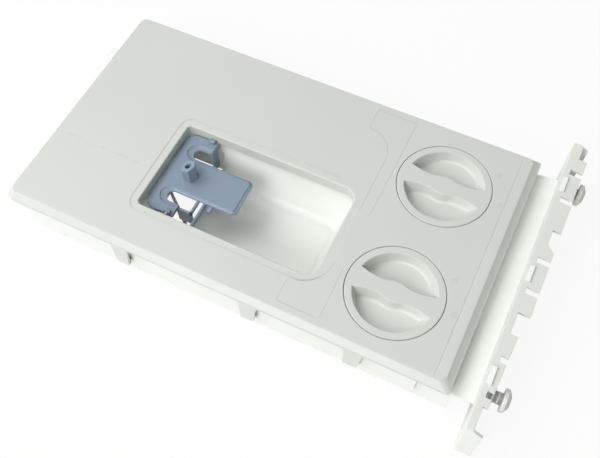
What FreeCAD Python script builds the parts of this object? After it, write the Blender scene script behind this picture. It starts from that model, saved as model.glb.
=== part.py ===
"""Detergent dispenser drawer with two liquid tanks, a powder bay, filler caps and a clip-on cover.

Frame: origin on the rest face under the middle of the cover, +X to the drawer's front, +Z up, millimetres.
"""
import FreeCAD
import Part
import Sketcher
import math
import os
from types import SimpleNamespace

# Driving dimensions, in millimetres and degrees.
VALUES = {
    "cover_length": 338.0,
    "cover_width": 190.0,
    "cover_top": 44.0,
    "cover_plate": 2.2,
    "cover_skirt_depth": 7.0,
    "cover_skirt_wall": 2.0,
    "cover_corner": 8.0,
    "cover_edge_round": 3.5,
    "bay_length": 138.0,
    "bay_width": 74.5,
    "bay_x": -9.5,
    "bay_y": -23.25,
    "bay_rear_corner": 3.5,
    "bay_front_corner": 10.0,
    "bay_edge_round": 1.0,
    "bay_collar_wall": 1.8,
    "bay_collar_depth": 10.5,
    "bay_collar_gap": 0.3,
    "bay_frame_border": 6.0,
    "bay_frame_step": 0.4,
    "line_width": 0.8,
    "line_depth": 0.3,
    "front_line_inset": 12.5,
    "tub_skirt_gap": 2.3,
    "tub_wall": 2.2,
    "tub_floor": 2.5,
    "tub_corner": 6.0,
    "tub_foot_round": 1.5,
    "gasket_height": 2.0,
    "gasket_width": 1.8,
    "bay_wall": 2.0,
    "bay_corner": 6.0,
    "bay_straight": 12.5,
    "bay_knee_height": 11.0,
    "bay_knee_side": 11.5,
    "bay_knee_front": 9.0,
    "bay_knee_rear": 1.5,
    "bay_floor": 3.0,
    "bay_floor_side": 18.0,
    "bay_floor_front": 15.0,
    "bay_floor_rear": 3.0,
    "outlet_length": 41.0,
    "outlet_side_inset": 3.0,
    "outlet_rib": 2.0,
    "outlet_rib_spread": 22.0,
    "outlet_rib_root": 2.0,
    "partition_wall": 2.0,
    "rear_partition_y": -31.0,
    "front_partition_y": -0.9,
    "shelf_height": 31.0,
    "shelf_plate": 2.0,
    "shelf_length": 22.3,
    "gusset_length": 5.8,
    "carrier_width": 227.0,
    "carrier_height": 49.0,
    "carrier_wall": 2.5,
    "carrier_flange": 2.0,
    "comb_reach": 10.5,
    "foot_reach": 8.0,
    "tab_pitch": 75.5,
    "slit_spread": 24.6,
    "slit_width": 4.0,
    "slit_length": 8.0,
    "notch_width": 15.5,
    "notch_length": 6.0,
    "notch_far_y": 30.3,
    "notch_near_y": -36.4,
    "end_notch_far": 10.0,
    "end_notch_near": 18.0,
    "catch_width": 13.0,
    "catch_length": 4.5,
    "catch_crest": 1.2,
    "catch_height": 2.0,
    "rear_tab_y": 56.2,
    "rear_tab_width": 10.5,
    "rear_tab_length": 13.5,
    "rear_tab_height": 34.5,
    "rear_tab_plate": 2.0,
    "clip_width": 13.5,
    "clip_depth": 25.0,
    "clip_hook": 1.7,
    "clip_hook_height": 2.5,
    "clip_lug_height": 3.0,
    "clip_lug_width": 9.5,
    "clip_play": 0.3,
    "clip_rear_x": -73.5,
    "clip_middle_x": 27.0,
    "clip_front_x": 104.2,
    "stop_block_x": 136.5,
    "stop_block_width": 22.0,
    "stop_block_low": 12.0,
    "stop_block_high": 36.0,
    "stop_block_reach": 2.6,
    "cap_front_edge": 56.5,
    "cap_far_edge": 50.3,
    "cap_near_edge": 48.5,
    "cap_radius": 33.7,
    "cap_ring_gap": 0.5,
    "cap_rim": 2.2,
    "cap_rim_round": 0.6,
    "cap_plug_radius": 30.5,
    "cap_plug_gap": 0.7,
    "cap_cup_floor": 1.7,
    "cap_hollow_radius": 28.5,
    "cap_hollow_depth": 10.5,
    "cap_hollow_round": 2.5,
    "grip_centre": 7.5,
    "grip_waist": 5.5,
    "grip_waist_x": 11.0,
    "grip_end": 8.0,
    "cap_lug_reach": 1.9,
    "cap_lug_width": 8.5,
    "cap_lug_height": 1.9,
    "cap_lug_play": 0.3,
    "cap_turn": 36.0,
    "seal_thickness": 1.0,
    "seal_width": 2.0,
    "seal_gap": 0.2,
    "neck_wall": 3.2,
    "neck_depth": 10.1,
    "neck_ring_wall": 2.5,
    "neck_ring_floor": 2.0,
    "flap_rear_gap": 1.2,
    "flap_side_gap": 4.25,
    "flap_plate": 2.0,
    "flap_drop": 8.0,
    "flap_arm_length": 27.8,
    "flap_arm_width": 9.0,
    "flap_tongue_length": 62.3,
    "flap_tongue_width": 29.5,
    "flap_slot_root": 8.8,
    "flap_corner": 6.0,
    "flap_tongue_corner": 3.0,
    "flap_slot_round": 4.0,
    "flap_lip_wall": 1.6,
    "flap_lip_depth": 4.5,
    "flap_wall": 1.8,
    "flap_wall_gap": 5.7,
    "flap_wall_depth": 24.0,
    "flap_wall_taper": 8.0,
    "pivot_x": -58.0,
    "pivot_drop": 7.5,
    "pivot_radius": 2.0,
    "pivot_play": 0.05,
    "pivot_bury": 0.8,
    "ear_radius": 4.4,
    "ear_width": 3.0,
    "ear_throat": 3.2,
    "post_x": -59.5,
    "post_y": -21.5,
    "post_across": 11.0,
    "post_height": 14.0,
    "post_bore": 3.4,
    "post_bore_depth": 10.0,
    "stud_end_inset": 31.5,
    "stud_rise": 3.0,
    "stud_stem_radius": 4.0,
    "stud_stem_length": 12.5,
    "stud_ring_radius": 5.2,
    "stud_ring_width": 1.6,
    "stud_head_radius": 7.0,
    "stud_head_rim": 2.5,
    "stud_dome": 2.4,
    "stud_peg_radius": 2.2,
    "stud_peg_play": 0.05,
    "stud_barb_radius": 2.7,
    "stud_barb_length": 2.0,
    "stud_barb_play": 0.2,
    "valve_height": 14.0,
    "valve_far_y": 30.0,
    "valve_near_y": -61.0,
    "spigot_radius": 8.0,
    "spigot_length": 10.0,
    "boss_radius": 9.0,
    "boss_length": 15.0,
    "valve_bore": 6.0,
    "valve_lip": 1.5,
    "valve_mouth": 4.2,
    "poppet_nose_radius": 3.5,
    "poppet_nose_inset": 0.5,
    "poppet_head_radius": 5.4,
    "poppet_head_width": 2.0,
    "poppet_stem_radius": 2.0,
    "poppet_seal_width": 2.1,
    "poppet_seal_play": 0.3,
    "guide_width": 3.0,
    "guide_play": 0.05,
    "guide_port_radius": 1.3,
    "guide_port_circle": 3.9,
    "spring_radius": 3.6,
    "spring_wire": 0.4,
    "spring_turns": 5.0,
}


class Size:
    """A length together with the sheet expression that gives it, so that sums stay bound to the sheet."""

    def __init__(self, value, text):
        self.value = value
        self.text = text

    def combine(self, other, sign, value):
        return Size(value, f"({self.text} {sign} {other.text})")

    def __add__(self, other):
        other = as_size(other)
        return self.combine(other, "+", self.value + other.value)

    def __sub__(self, other):
        other = as_size(other)
        return self.combine(other, "-", self.value - other.value)

    def __rsub__(self, other):
        return as_size(other) - self

    def __mul__(self, factor):
        factor = as_size(factor)
        return self.combine(factor, "*", self.value * factor.value)

    def __truediv__(self, factor):
        factor = as_size(factor)
        return self.combine(factor, "/", self.value / factor.value)

    def __neg__(self):
        return Size(-self.value, f"(-{self.text})")

    __radd__ = __add__
    __rmul__ = __mul__


def as_size(item):
    """A plain number as a size with no cell behind it."""
    if isinstance(item, Size):
        return item
    return Size(float(item), f"({float(item)!r})")


def root(size):
    return Size(math.sqrt(size.value), f"sqrt({size.text})")


doc = FreeCAD.newDocument("dispenser_drawer")
sheet = doc.addObject("Spreadsheet::Sheet", "Sizes")
for row, (alias, number) in enumerate(VALUES.items(), start=1):
    sheet.set(f"A{row}", alias)
    sheet.set(f"B{row}", str(number))
    sheet.setAlias(f"B{row}", alias)
doc.recompute()
dim = SimpleNamespace(**{alias: Size(number, f"Sizes.{alias}") for alias, number in VALUES.items()})
ZERO = as_size(0)
NODES = []


def new_body(name):
    """A body whose label names its file."""
    body = doc.addObject("PartDesign::Body", name)
    body.Label = name
    NODES.append(body)
    return body


def bind(item, path, size):
    item.setExpression(path, as_size(size).text)


def new_sketch(body, name, plane="XY_Plane", shift=(0, 0, 0), turn=None):
    """A sketch on one of the body's planes, shifted in that plane's axes and turned about its normal."""
    sketch = body.newObject("Sketcher::SketchObject", f"{body.Name}_{name}")
    support = [feature for feature in body.Origin.OriginFeatures if feature.Role == plane][0]
    sketch.AttachmentSupport = [(support, "")]
    sketch.MapMode = "FlatFace"
    for axis, amount in zip("xyz", shift):
        bind(sketch, f"AttachmentOffset.Base.{axis}", amount)
    if turn is not None:
        sketch.AttachmentOffset = FreeCAD.Placement(
            FreeCAD.Vector(*[as_size(amount).value for amount in shift]),
            FreeCAD.Rotation(FreeCAD.Vector(0, 0, 1), turn.value))
        bind(sketch, "AttachmentOffset.Rotation.Angle", turn)
    return sketch


def hold(sketch, kind, value, *ends):
    """A driving constraint bound to the sheet."""
    size = as_size(value)
    index = sketch.addConstraint(Sketcher.Constraint(kind, *ends, size.value))
    bind(sketch, f"Constraints[{index}]", size)


def hold_point(sketch, geometry, end, x, y):
    hold(sketch, "DistanceX", x, -1, 1, geometry, end)
    hold(sketch, "DistanceY", y, -1, 1, geometry, end)


def vector(x, y):
    return FreeCAD.Vector(as_size(x).value, as_size(y).value, 0)


def outline(sketch, corners):
    """A closed run of straight edges through corners that are each held in x and y."""
    first = sketch.GeometryCount
    count = len(corners)
    for index, corner in enumerate(corners):
        following = corners[(index + 1) % count]
        sketch.addGeometry(Part.LineSegment(vector(*corner), vector(*following)), False)
    for index, corner in enumerate(corners):
        line = first + index
        sketch.addConstraint(Sketcher.Constraint("Coincident", line, 2, first + (index + 1) % count, 1))
        hold_point(sketch, line, 1, *corner)


def rectangle(sketch, low_x, high_x, low_y, high_y):
    outline(sketch, [(low_x, low_y), (high_x, low_y), (high_x, high_y), (low_x, high_y)])


def rounded_rectangle(sketch, low_x, high_x, low_y, high_y, radius, front_radius=None):
    """A rectangle with round corners; the two corners at high x may have a radius of their own."""
    front = as_size(radius if front_radius is None else front_radius)
    rear = as_size(radius)
    low_x, high_x, low_y, high_y = [as_size(side) for side in (low_x, high_x, low_y, high_y)]
    first = sketch.GeometryCount
    corners = [(high_x - front, low_y + front, front, -90), (high_x - front, high_y - front, front, 0),
               (low_x + rear, high_y - rear, rear, 90), (low_x + rear, low_y + rear, rear, 180)]
    for x, y, bend, start in corners:
        circle = Part.Circle(vector(x, y), FreeCAD.Vector(0, 0, 1), bend.value)
        sketch.addGeometry(Part.ArcOfCircle(circle, math.radians(start), math.radians(start + 90)), False)
    for index in range(4):
        tail = sketch.getPoint(first + index, 2)
        head = sketch.getPoint(first + (index + 1) % 4, 1)
        sketch.addGeometry(Part.LineSegment(tail, head), False)
    for index, (x, y, bend, start) in enumerate(corners):
        line = first + 4 + index
        sketch.addConstraint(Sketcher.Constraint("Tangent", first + index, 2, line, 1))
        sketch.addConstraint(Sketcher.Constraint("Tangent", line, 2, first + (index + 1) % 4, 1))
        hold_point(sketch, first + index, 3, x, y)
    hold(sketch, "Radius", front, first)
    hold(sketch, "Radius", rear, first + 2)
    sketch.addConstraint(Sketcher.Constraint("Equal", first, first + 1))
    sketch.addConstraint(Sketcher.Constraint("Equal", first + 2, first + 3))


def circle(sketch, x, y, radius):
    index = sketch.addGeometry(
        Part.Circle(vector(x, y), FreeCAD.Vector(0, 0, 1), as_size(radius).value), False)
    hold_point(sketch, index, 3, x, y)
    hold(sketch, "Radius", radius, index)


def feature(body, kind, name):
    item = body.newObject(f"PartDesign::{kind}", f"{body.Name}_{name}")
    return item


def pad(body, name, sketch, length, both_ways=False):
    """Material from the sketch along its normal, or half each way."""
    item = feature(body, "Pad", name)
    item.Profile = sketch
    if both_ways:
        item.SideType = "Symmetric"
    bind(item, "Length", length)
    return item


def pocket(body, name, sketch, depth, both_ways=False):
    """A cut from the sketch against its normal, or half each way."""
    item = feature(body, "Pocket", name)
    item.Profile = sketch
    if both_ways:
        item.SideType = "Symmetric"
    bind(item, "Length", depth)
    return item


def loft(body, kind, name, sketches):
    item = feature(body, kind, name)
    item.Profile = sketches[0]
    item.Sections = sketches[1:]
    item.Ruled = True
    return item


def revolve(body, name, sketch, axis):
    item = feature(body, "Revolution", name)
    item.Profile = sketch
    item.ReferenceAxis = (sketch, [axis])
    item.Angle = 360
    return item


def three_round(body, name, base, sketch):
    """Three copies of a feature round the sketch's own normal."""
    item = feature(body, "PolarPattern", name)
    item.Originals = [base]
    item.Axis = (sketch, ["N_Axis"])
    item.Angle = 360
    item.Occurrences = 3
    body.Tip = item
    return item


def fillet(body, name, radius, wanted):
    """Rounds the edges of the body's newest shape that the test picks."""
    doc.recompute()
    base = body.Tip
    names = [f"Edge{index}" for index, edge in enumerate(base.Shape.Edges, start=1) if wanted(edge)]
    item = feature(body, "Fillet", name)
    item.Base = (base, names)
    bind(item, "Radius", radius)
    return item


def lies_at(edge, height):
    """Whether an edge lies in the level plane at a height."""
    box = edge.BoundBox
    return abs(box.ZMin - height.value) < 1e-4 and abs(box.ZMax - height.value) < 1e-4


def is_upright(edge, x=None, y=None):
    """Whether an edge stands parallel to Z, at the given x and distance from the bay's middle line."""
    box = edge.BoundBox
    straight = box.ZLength > 1e-3 and box.XLength < 1e-4 and box.YLength < 1e-4
    at_x = x is None or abs(box.XMin - x.value) < 1e-4
    at_y = y is None or abs(abs(box.YMin - dim.bay_y.value) - y.value) < 1e-4
    return straight and at_x and at_y


# Levels and outlines that several pieces share.
cover_half_x = dim.cover_length / 2
cover_half_y = dim.cover_width / 2
skirt_in_x = cover_half_x - dim.cover_skirt_wall
skirt_in_y = cover_half_y - dim.cover_skirt_wall
skirt_low = dim.cover_top - dim.cover_skirt_depth
plate_low = dim.cover_top - dim.cover_plate
rim_top = plate_low - dim.gasket_height
tub_half_x = skirt_in_x - dim.tub_skirt_gap
tub_half_y = skirt_in_y - dim.tub_skirt_gap
bay_rear = dim.bay_x - dim.bay_length / 2
bay_front = dim.bay_x + dim.bay_length / 2
bay_near = dim.bay_y - dim.bay_width / 2
bay_far = dim.bay_y + dim.bay_width / 2
collar_low = dim.cover_top - dim.bay_collar_depth
collar_grow = dim.bay_collar_wall + dim.bay_collar_gap
pivot_height = dim.cover_top - dim.pivot_drop
carrier_rear = tub_half_x - dim.tub_wall + dim.shelf_length
carrier_front = carrier_rear + dim.carrier_wall
stud_place = dim.carrier_width / 2 - dim.stud_end_inset
stud_height = dim.shelf_height + dim.stud_rise
spigot_end = -tub_half_x - dim.spigot_length
valve_seat = spigot_end + dim.valve_lip
boss_end = -tub_half_x + dim.boss_length
clip_low = skirt_low - dim.clip_depth
clip_places = [dim.clip_rear_x, dim.clip_middle_x, dim.clip_front_x]
SIDES = (-1, 1)


def bay_section(body, name, height, rear, front, side, corner):
    """One level section of the powder bay, drawn in from the collar's outside by the given amounts."""
    sketch = new_sketch(body, name, shift=(0, 0, height))
    rounded_rectangle(sketch, bay_rear - collar_grow + rear, bay_front + collar_grow - front,
                      bay_near - collar_grow + side, bay_far + collar_grow - side, corner)
    return sketch


def bay_sections(body, name, grow, floor):
    """The bay's four sections from its rim to its floor, each grown outwards by a wall."""
    knee = (dim.bay_knee_rear, dim.bay_knee_front, dim.bay_knee_side)
    base = (dim.bay_floor_rear, dim.bay_floor_front, dim.bay_floor_side)
    levels = [(rim_top, (ZERO, ZERO, ZERO)), (dim.cover_top - dim.bay_straight, (ZERO, ZERO, ZERO)),
              (dim.bay_knee_height, knee), (floor, base)]
    return [bay_section(body, f"{name}_{index}", height, *[inset - grow for inset in insets],
                        dim.bay_corner + grow)
            for index, (height, insets) in enumerate(levels)]


def make_tank_body():
    """The tub: tanks, powder bay, outlet shaft, front shelf and comb carrier, in one moulding."""
    body = new_body("tank_body")
    shell = new_sketch(body, "shell")
    rounded_rectangle(shell, -tub_half_x, tub_half_x, -tub_half_y, tub_half_y, dim.tub_corner)
    pad(body, "shell_pad", shell, rim_top)
    fillet(body, "foot_round", dim.tub_foot_round, lambda edge: lies_at(edge, ZERO))
    cavity = new_sketch(body, "cavity", shift=(0, 0, rim_top))
    inside_x = tub_half_x - dim.tub_wall
    inside_y = tub_half_y - dim.tub_wall
    rounded_rectangle(cavity, -inside_x, inside_x, -inside_y, inside_y, dim.tub_corner - dim.tub_wall)
    pocket(body, "cavity_cut", cavity, rim_top - dim.tub_floor)

    # The bay stands in the tub as a funnel with an upright outlet shaft at its rear end.
    loft(body, "AdditiveLoft", "bay_block", bay_sections(body, "bay_outer", dim.bay_wall, dim.tub_floor / 2))
    shaft_rear = bay_rear - collar_grow
    shaft_front = shaft_rear + dim.outlet_length
    shaft_near = bay_near - collar_grow + dim.outlet_side_inset
    shaft_far = bay_far + collar_grow - dim.outlet_side_inset
    shaft_top = dim.cover_top - dim.bay_straight
    shaft_block = new_sketch(body, "shaft_block", shift=(0, 0, dim.tub_floor / 2))
    rectangle(shaft_block, shaft_rear - dim.bay_wall, shaft_front + dim.bay_wall,
              shaft_near - dim.bay_wall, shaft_far + dim.bay_wall)
    pad(body, "shaft_walls", shaft_block, shaft_top - dim.tub_floor / 2)
    partitions = new_sketch(body, "partitions", shift=(0, 0, dim.tub_floor / 2))
    half_wall = dim.partition_wall / 2
    rectangle(partitions, -tub_half_x + dim.tub_wall / 2, bay_rear,
              dim.rear_partition_y - half_wall, dim.rear_partition_y + half_wall)
    rectangle(partitions, bay_front - dim.bay_floor_front - dim.bay_wall, tub_half_x - dim.tub_wall / 2,
              dim.front_partition_y - half_wall, dim.front_partition_y + half_wall)
    pad(body, "partition_walls", partitions, rim_top - dim.tub_floor / 2)
    loft(body, "SubtractiveLoft", "bay_hollow", bay_sections(body, "bay_inner", ZERO, dim.bay_floor))
    shaft = new_sketch(body, "shaft", shift=(0, 0, shaft_top))
    rectangle(shaft, shaft_rear, shaft_front, shaft_near, shaft_far)
    pocket(body, "outlet", shaft, shaft_top)
    ribs = new_sketch(body, "outlet_ribs")
    for side in SIDES:
        root = dim.bay_y + side * dim.outlet_rib_root
        tip = dim.bay_y + side * (dim.outlet_rib_root + dim.outlet_rib_spread)
        outline(ribs, [(shaft_rear - dim.bay_wall / 2, root), (shaft_front + dim.bay_wall / 2, tip),
                       (shaft_front + dim.bay_wall / 2, tip + side * dim.outlet_rib),
                       (shaft_rear - dim.bay_wall / 2, root + side * dim.outlet_rib)])
    pad(body, "outlet_rib_bars", ribs, dim.tub_floor)

    # The shelf and the channel-shaped carrier in front of the tub.
    shelf = new_sketch(body, "shelf", "XZ_Plane")
    rectangle(shelf, inside_x + dim.tub_wall / 2, carrier_rear + dim.carrier_wall / 2,
              dim.shelf_height - dim.shelf_plate, dim.shelf_height)
    pad(body, "shelf_plate", shelf, tub_half_y * 2, both_ways=True)
    gussets = new_sketch(body, "gussets", shift=(0, 0, dim.tub_foot_round))
    for side in SIDES:
        rectangle(gussets, tub_half_x - dim.tub_corner, tub_half_x + dim.gusset_length,
                  side * tub_half_y, side * (tub_half_y - dim.tub_wall))
    pad(body, "gusset_ribs", gussets, dim.shelf_height - dim.shelf_plate / 2 - dim.tub_foot_round)
    channel = new_sketch(body, "channel", "XZ_Plane")
    comb_front = carrier_front + dim.comb_reach
    foot_front = carrier_front + dim.foot_reach
    outline(channel, [
        (carrier_rear, ZERO), (foot_front, ZERO), (foot_front, dim.carrier_flange),
        (carrier_front, dim.carrier_flange), (carrier_front, dim.carrier_height - dim.carrier_flange),
        (comb_front, dim.carrier_height - dim.carrier_flange), (comb_front, dim.carrier_height),
        (carrier_rear, dim.carrier_height)])
    pad(body, "carrier", channel, dim.carrier_width, both_ways=True)
    make_comb(body, comb_front)
    stud_holes = new_sketch(body, "stud_holes", "YZ_Plane", shift=(0, 0, carrier_front))
    for side in SIDES:
        circle(stud_holes, side * stud_place, stud_height, dim.stud_peg_radius + dim.stud_peg_play)
    pocket(body, "stud_seats", stud_holes, dim.carrier_wall)

    # Details on the outside: rear guide tab, clip lugs, stop blocks and outlet spigots.
    tab = new_sketch(body, "rear_tab", shift=(0, 0, dim.rear_tab_height - dim.rear_tab_plate))
    rectangle(tab, -tub_half_x - dim.rear_tab_length, -tub_half_x + dim.tub_wall / 2,
              dim.rear_tab_y - dim.rear_tab_width / 2, dim.rear_tab_y + dim.rear_tab_width / 2)
    pad(body, "rear_tab_plate", tab, dim.rear_tab_plate)
    lug_low = clip_low + dim.clip_hook_height + dim.clip_play
    lugs = new_sketch(body, "clip_lugs", shift=(0, 0, lug_low))
    blocks = new_sketch(body, "stop_blocks", shift=(0, 0, dim.stop_block_low))
    buried = tub_half_y - dim.tub_wall / 2
    for side in SIDES:
        for place in clip_places:
            rectangle(lugs, place - dim.clip_lug_width / 2, place + dim.clip_lug_width / 2,
                      side * buried, side * (tub_half_y + dim.clip_hook))
        rectangle(blocks, dim.stop_block_x - dim.stop_block_width / 2,
                  dim.stop_block_x + dim.stop_block_width / 2,
                  side * buried, side * (tub_half_y + dim.stop_block_reach))
    pad(body, "clip_lug_blocks", lugs, dim.clip_lug_height)
    pad(body, "stop_block_pads", blocks, dim.stop_block_high - dim.stop_block_low)
    for name, start, reach, radius in (
            ("spigots", -tub_half_x, -dim.spigot_length, dim.spigot_radius),
            ("bosses", -tub_half_x, dim.boss_length, dim.boss_radius)):
        rings = new_sketch(body, name, "YZ_Plane", shift=(0, 0, start))
        for y in (dim.valve_near_y, dim.valve_far_y):
            circle(rings, y, dim.valve_height, radius)
        item = pad(body, f"{name}_pad", rings, reach if reach.value > 0 else -reach)
        item.Reversed = reach.value < 0
    for name, radius, depth in (("bores", dim.valve_bore, boss_end - valve_seat),
                                ("mouths", dim.valve_mouth, boss_end - spigot_end)):
        holes = new_sketch(body, name, "YZ_Plane", shift=(0, 0, boss_end))
        for y in (dim.valve_near_y, dim.valve_far_y):
            circle(holes, y, dim.valve_height, radius)
        pocket(body, f"{name}_cut", holes, depth)


def make_comb(body, comb_front):
    """Slits, notches and catch blocks of the flange that the front panel snaps onto."""
    comb = new_sketch(body, "comb", shift=(0, 0, dim.carrier_height))
    half_slit = dim.slit_width / 2
    tab_places = [dim.tab_pitch * step for step in (-1, 0, 1)]
    end = dim.carrier_width / 2
    for place in tab_places:
        for side in SIDES:
            middle = place + side * dim.slit_spread / 2
            rectangle(comb, comb_front - dim.slit_length, comb_front, middle - half_slit, middle + half_slit)
    for middle in (dim.notch_near_y, dim.notch_far_y):
        rectangle(comb, comb_front - dim.notch_length, comb_front,
                  middle - dim.notch_width / 2, middle + dim.notch_width / 2)
    rectangle(comb, comb_front - dim.notch_length, comb_front, end - dim.end_notch_far, end)
    rectangle(comb, comb_front - dim.notch_length, comb_front, -end, dim.end_notch_near - end)
    pocket(body, "comb_cut", comb, dim.carrier_flange)
    for index, place in enumerate(tab_places):
        catch = new_sketch(body, f"catch_{index}", "XZ_Plane", shift=(0, 0, -place))
        sunk = dim.carrier_height - dim.carrier_flange / 2
        outline(catch, [
            (carrier_front, sunk), (carrier_front + dim.catch_length, sunk),
            (carrier_front + dim.catch_length, dim.carrier_height),
            (carrier_front + dim.catch_crest, dim.carrier_height + dim.catch_height),
            (carrier_front, dim.carrier_height + dim.catch_height)])
        pad(body, f"catch_block_{index}", catch, dim.catch_width, both_ways=True)


def make_top_cover():
    """The clip-on cover: plate and skirt, bay collar, two filler necks, side clips and flap pivots."""
    body = new_body("top_cover")
    plan = new_sketch(body, "plan", shift=(0, 0, skirt_low))
    rounded_rectangle(plan, -cover_half_x, cover_half_x, -cover_half_y, cover_half_y, dim.cover_corner)
    pad(body, "block", plan, dim.cover_skirt_depth)
    fillet(body, "edge_round", dim.cover_edge_round, lambda edge: lies_at(edge, dim.cover_top))
    inside = new_sketch(body, "inside", shift=(0, 0, plate_low))
    rounded_rectangle(inside, -skirt_in_x, skirt_in_x, -skirt_in_y, skirt_in_y,
                      dim.cover_corner - dim.cover_skirt_wall)
    pocket(body, "inside_cut", inside, plate_low - skirt_low)

    # A faint sunk frame round the bay, the collar that hangs into it and the opening.
    frame = new_sketch(body, "bay_frame", shift=(0, 0, dim.cover_top))
    border = dim.bay_frame_border
    rounded_rectangle(frame, bay_rear - border, bay_front + border, bay_near - border, bay_far + border,
                      dim.bay_rear_corner + border, dim.bay_front_corner + border)
    pocket(body, "bay_frame_step", frame, dim.bay_frame_step)
    collar = new_sketch(body, "collar", shift=(0, 0, collar_low))
    wall = dim.bay_collar_wall
    rounded_rectangle(collar, bay_rear - wall, bay_front + wall, bay_near - wall, bay_far + wall,
                      dim.bay_rear_corner + wall, dim.bay_front_corner + wall)
    pad(body, "collar_wall", collar, plate_low + dim.cover_plate / 2 - collar_low)
    opening = new_sketch(body, "opening", shift=(0, 0, dim.cover_top))
    rounded_rectangle(opening, bay_rear, bay_front, bay_near, bay_far,
                      dim.bay_rear_corner, dim.bay_front_corner)
    pocket(body, "opening_cut", opening, dim.bay_collar_depth)
    sunk_top = dim.cover_top - dim.bay_frame_step
    fillet(body, "opening_round", dim.bay_edge_round,
           lambda edge: lies_at(edge, sunk_top) and in_bay(edge, dim.bay_edge_round))

    make_necks(body)

    # Lines in the top: one along the front edge and one where the two tanks meet.
    lines = new_sketch(body, "lines", shift=(0, 0, dim.cover_top))
    half_line = dim.line_width / 2
    front_line = cover_half_x - dim.front_line_inset
    rectangle(lines, front_line - half_line, front_line + half_line,
              dim.cover_edge_round - cover_half_y, cover_half_y - dim.cover_edge_round)
    rectangle(lines, dim.cover_edge_round - cover_half_x, bay_rear - border - dim.line_width,
              dim.rear_partition_y - half_line, dim.rear_partition_y + half_line)
    pocket(body, "line_cut", lines, dim.line_depth)

    # Clip arms that hang from the skirt and hook under the lugs of the tub.
    arms = new_sketch(body, "clip_arms", shift=(0, 0, clip_low))
    hooks = new_sketch(body, "clip_hooks", shift=(0, 0, clip_low))
    half_clip = dim.clip_width / 2
    for side in SIDES:
        for place in clip_places:
            rectangle(arms, place - half_clip, place + half_clip, side * skirt_in_y, side * cover_half_y)
            rectangle(hooks, place - half_clip, place + half_clip, side * (skirt_in_y - dim.clip_hook),
                      side * (skirt_in_y + dim.cover_skirt_wall / 2))
    pad(body, "clip_arm_bars", arms, dim.clip_depth + dim.cover_skirt_wall)
    pad(body, "clip_hook_bars", hooks, dim.clip_hook_height)

    # Two short pins in the collar carry the flap.
    pin_length = dim.flap_side_gap + dim.ear_width + dim.pivot_bury
    for name, start in (("near", bay_near - dim.pivot_bury), ("far", bay_far + dim.pivot_bury)):
        pin = new_sketch(body, f"pivot_{name}", "XZ_Plane", shift=(0, 0, -start))
        circle(pin, dim.pivot_x, pivot_height, dim.pivot_radius)
        item = pad(body, f"pivot_pin_{name}", pin, pin_length)
        item.Reversed = name == "near"


def in_bay(edge, margin):
    """Whether an edge belongs to the bay's opening, and not to the frame round it."""
    box = edge.BoundBox
    reach = margin.value
    return (bay_rear.value - reach < box.XMin and box.XMax < bay_front.value + reach
            and bay_near.value - reach < box.YMin and box.YMax < bay_far.value + reach)


neck_radius = dim.cap_plug_radius + dim.cap_plug_gap
recess_radius = dim.cap_radius + dim.cap_ring_gap
recess_depth = dim.cap_rim + dim.seal_thickness + dim.seal_gap
lug_radius = dim.cap_plug_radius + dim.cap_lug_reach
cap_x = cover_half_x - dim.cap_front_edge
cap_places = {"far": cover_half_y - dim.cap_far_edge, "near": dim.cap_near_edge - cover_half_y}


def make_necks(body):
    """Two filler necks, each with a recess for its cap's rim and three slots that let the cap's lugs in."""
    steps = [("neck_ring", dim.cover_top - recess_depth - dim.neck_ring_floor,
              plate_low + dim.cover_plate / 2, recess_radius + dim.neck_ring_wall),
             ("neck_tube", dim.cover_top - dim.neck_depth, plate_low, neck_radius + dim.neck_wall)]
    for name, low, high, radius in steps:
        rings = new_sketch(body, name, shift=(0, 0, low))
        for y in cap_places.values():
            circle(rings, cap_x, y, radius)
        pad(body, f"{name}_pad", rings, high - low)
    for name, radius, depth in (("recess", recess_radius, recess_depth),
                                ("neck_bore", neck_radius, dim.neck_depth)):
        holes = new_sketch(body, name, shift=(0, 0, dim.cover_top))
        for y in cap_places.values():
            circle(holes, cap_x, y, radius)
        pocket(body, f"{name}_cut", holes, depth)
    for name, y in cap_places.items():
        slot = new_sketch(body, f"lug_slot_{name}", shift=(cap_x, y, dim.cover_top - recess_depth),
                          turn=dim.cap_turn)
        half_slot = dim.cap_lug_width / 2 + dim.cap_lug_play
        rectangle(slot, neck_radius - dim.cap_lug_reach, lug_radius + dim.cap_lug_play, -half_slot, half_slot)
        cut = pocket(body, f"lug_slot_cut_{name}", slot, dim.neck_depth - recess_depth)
        three_round(body, f"lug_slots_{name}", cut, slot)


def make_cover_gasket():
    """One moulded seal on the tub's rim, the bay's rim and the two partitions."""
    body = new_body("cover_gasket")
    mid_x = tub_half_x - dim.tub_wall / 2
    mid_y = tub_half_y - dim.tub_wall / 2
    half = dim.gasket_width / 2
    ring = new_sketch(body, "rim", shift=(0, 0, rim_top))
    corner = dim.tub_corner - dim.tub_wall / 2
    rounded_rectangle(ring, -mid_x - half, mid_x + half, -mid_y - half, mid_y + half, corner + half)
    rounded_rectangle(ring, half - mid_x, mid_x - half, half - mid_y, mid_y - half, corner - half)
    pad(body, "rim_strip", ring, dim.gasket_height)
    links = new_sketch(body, "links", shift=(0, 0, rim_top))
    seat = collar_grow + dim.bay_wall / 2
    rectangle(links, -mid_x, bay_rear - seat, dim.rear_partition_y - half, dim.rear_partition_y + half)
    rectangle(links, bay_front + seat, mid_x, dim.front_partition_y - half, dim.front_partition_y + half)
    pad(body, "link_strips", links, dim.gasket_height)
    bay = new_sketch(body, "bay", shift=(0, 0, rim_top))
    corner = dim.bay_corner + dim.bay_wall / 2
    for grow, bend in ((seat + half, corner + half), (seat - half, corner - half)):
        rounded_rectangle(bay, bay_rear - grow, bay_front + grow, bay_near - grow, bay_far + grow, bend)
    pad(body, "bay_strip", bay, dim.gasket_height)


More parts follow.
